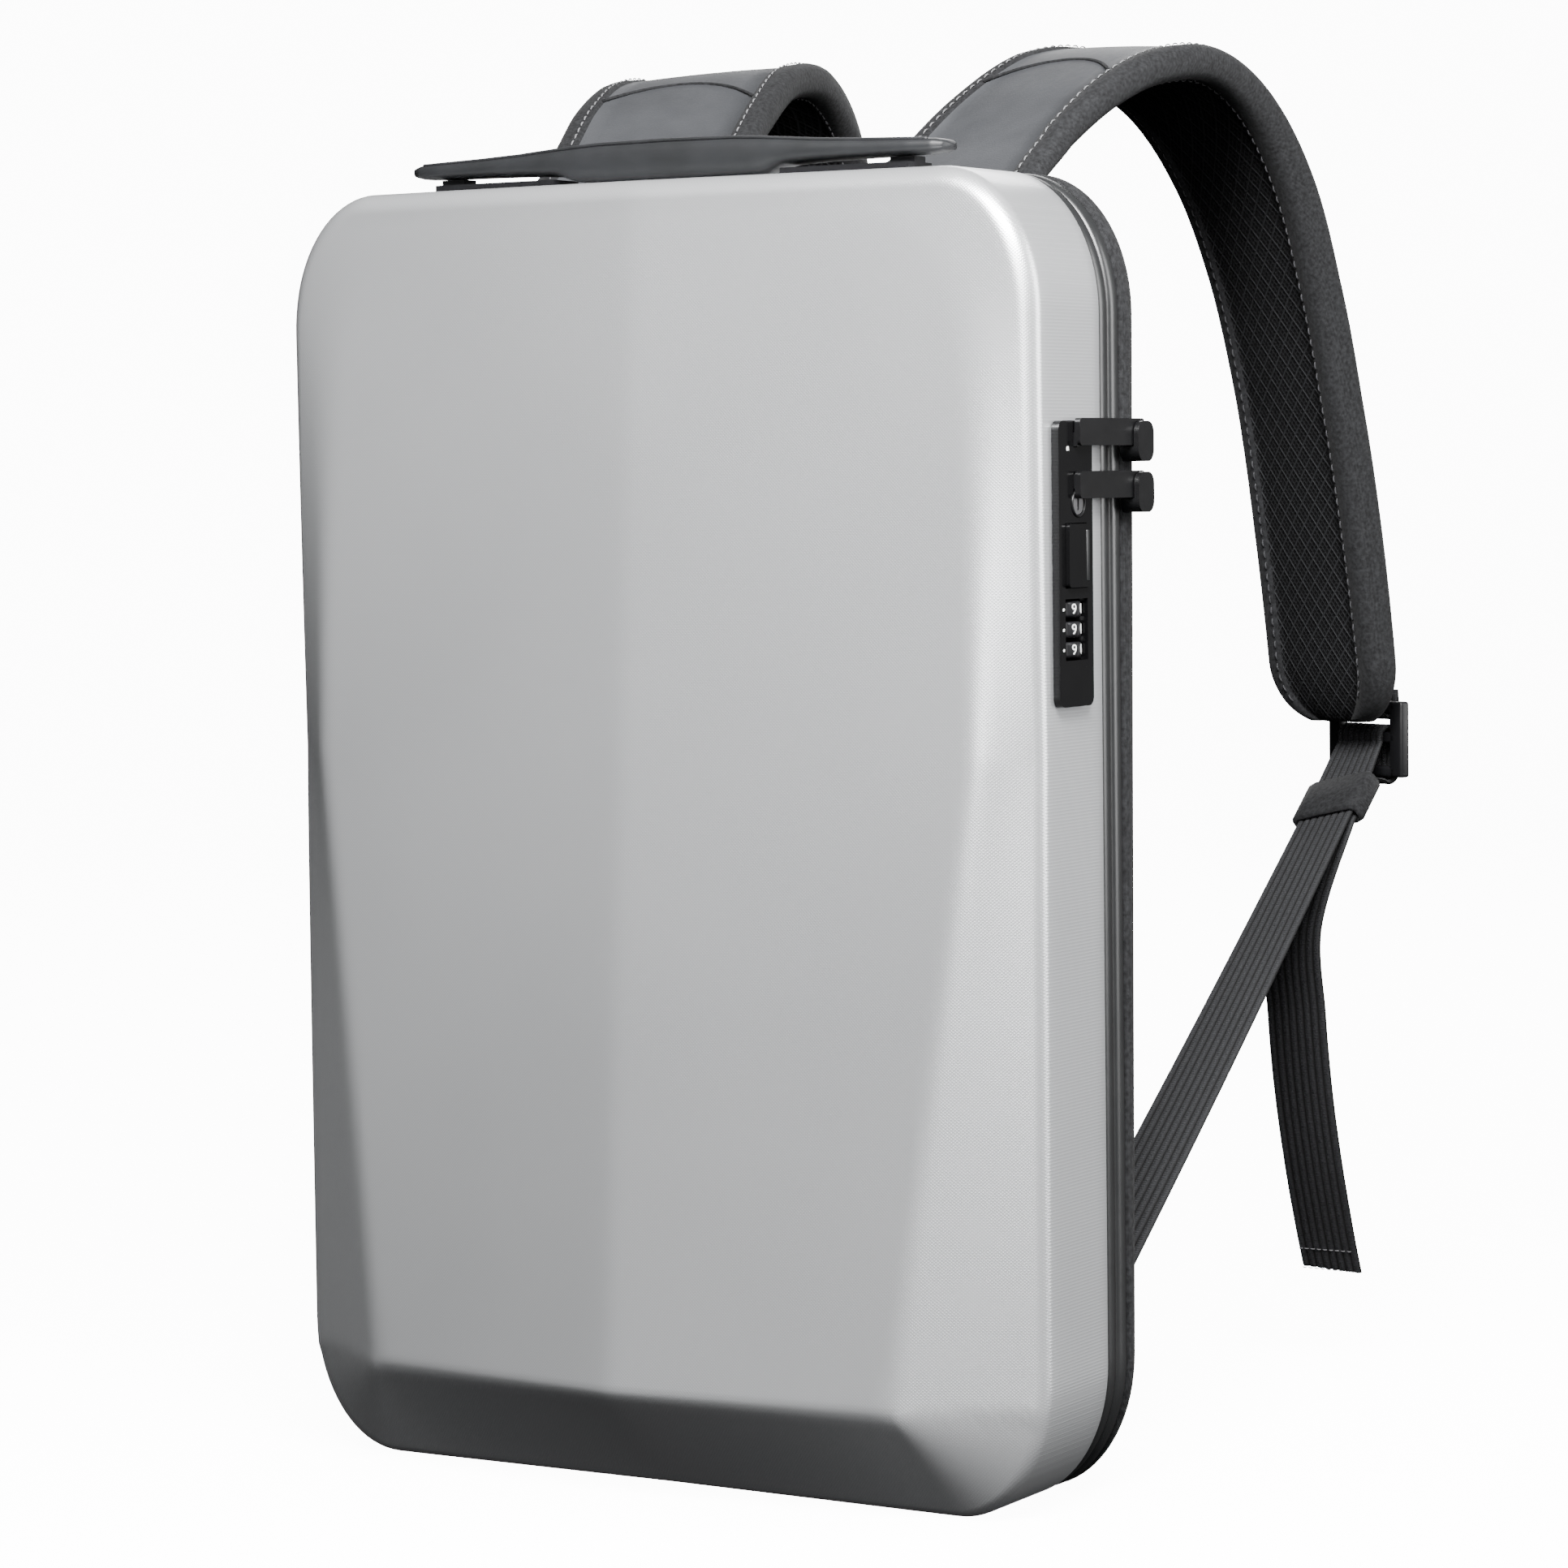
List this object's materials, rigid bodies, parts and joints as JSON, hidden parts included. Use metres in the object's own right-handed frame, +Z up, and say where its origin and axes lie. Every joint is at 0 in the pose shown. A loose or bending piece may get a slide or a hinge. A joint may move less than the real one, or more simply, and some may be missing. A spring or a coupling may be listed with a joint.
{
  "type": "hard shell backpack",
  "caption": "Hard shell laptop backpack with a faceted silver front, a combination side lock that holds the zip pulls, a carry handle and padded shoulder straps.",
  "frame": {"origin": "middle of the front shell's flat bottom, on the floor plane", "axes": "+Z up along the case height, +X towards the wearer's right side where the lock is, +Y towards the back panel and straps; the silver front faces -Y"},
  "size_m": [0.2951, 0.3487, 0.4835],
  "materials": {
    "silver_shell": "satin silver with a fine woven micro texture",
    "black_fabric": "matte woven textile",
    "black_piping": "satin coated piping",
    "black_mesh": "matte diamond air mesh",
    "grey_leather": "smooth matte coated fabric over foam",
    "black_plastic": "satin moulded",
    "gloss_black": "gloss moulded",
    "handle_rubber": "soft matte",
    "black_webbing": "ribbed woven nylon",
    "black_metal": "satin black coated",
    "key_metal": "dark nickel"
  },
  "bodies": {
    "case": {"front_shell": "silver_shell", "zip_band_front": "black_piping", "zip_band_rear": "black_piping", "back_body": "black_fabric", "back_pad": "black_mesh", "carry_handle": "handle_rubber", "handle_plate_right": "black_plastic", "handle_plate_left": "black_plastic", "lock_housing": "gloss_black", "dial_axle": "key_metal", "zip_pull_upper": "black_metal", "zip_slider_upper": "black_metal", "zip_pull_lower": "black_metal", "zip_slider_lower": "black_metal", "shoulder_strap_right": "grey_leather", "buckle_tab_right": "black_webbing", "buckle_right": "black_plastic", "webbing_right": "black_webbing", "keeper_right": "black_webbing", "webbing_anchor_right": "black_fabric", "shoulder_strap_left": "grey_leather", "buckle_tab_left": "black_webbing", "buckle_left": "black_plastic", "webbing_left": "black_webbing", "keeper_left": "black_webbing", "webbing_anchor_left": "black_fabric"},
    "dial_1": {"dial_1": "black_plastic"},
    "dial_2": {"dial_2": "black_plastic"},
    "dial_3": {"dial_3": "black_plastic"},
    "button": {"release_button": "gloss_black"},
    "key": {"key_cylinder": "key_metal"}
  },
  "joints": [
    {"name": "dial_1_turn", "type": "hinge", "parent": "case", "child": "dial_1", "pos_m": [0.1402, -0.0068, 0.2902], "axis": [0, 0, 1], "continuous": true},
    {"name": "dial_2_turn", "type": "hinge", "parent": "case", "child": "dial_2", "pos_m": [0.1402, -0.0068, 0.2838], "axis": [0, 0, 1], "continuous": true},
    {"name": "dial_3_turn", "type": "hinge", "parent": "case", "child": "dial_3", "pos_m": [0.1402, -0.0068, 0.2774], "axis": [0, 0, 1], "continuous": true},
    {"name": "button_press", "type": "slide", "parent": "case", "child": "button", "axis": [-1, 0, 0], "range_m": [0, 0.0016]},
    {"name": "key_turn", "type": "hinge", "parent": "case", "child": "key", "pos_m": [0.1468, -0.0052, 0.3235], "axis": [1, 0, 0], "range_deg": [0, 90]}
  ]
}
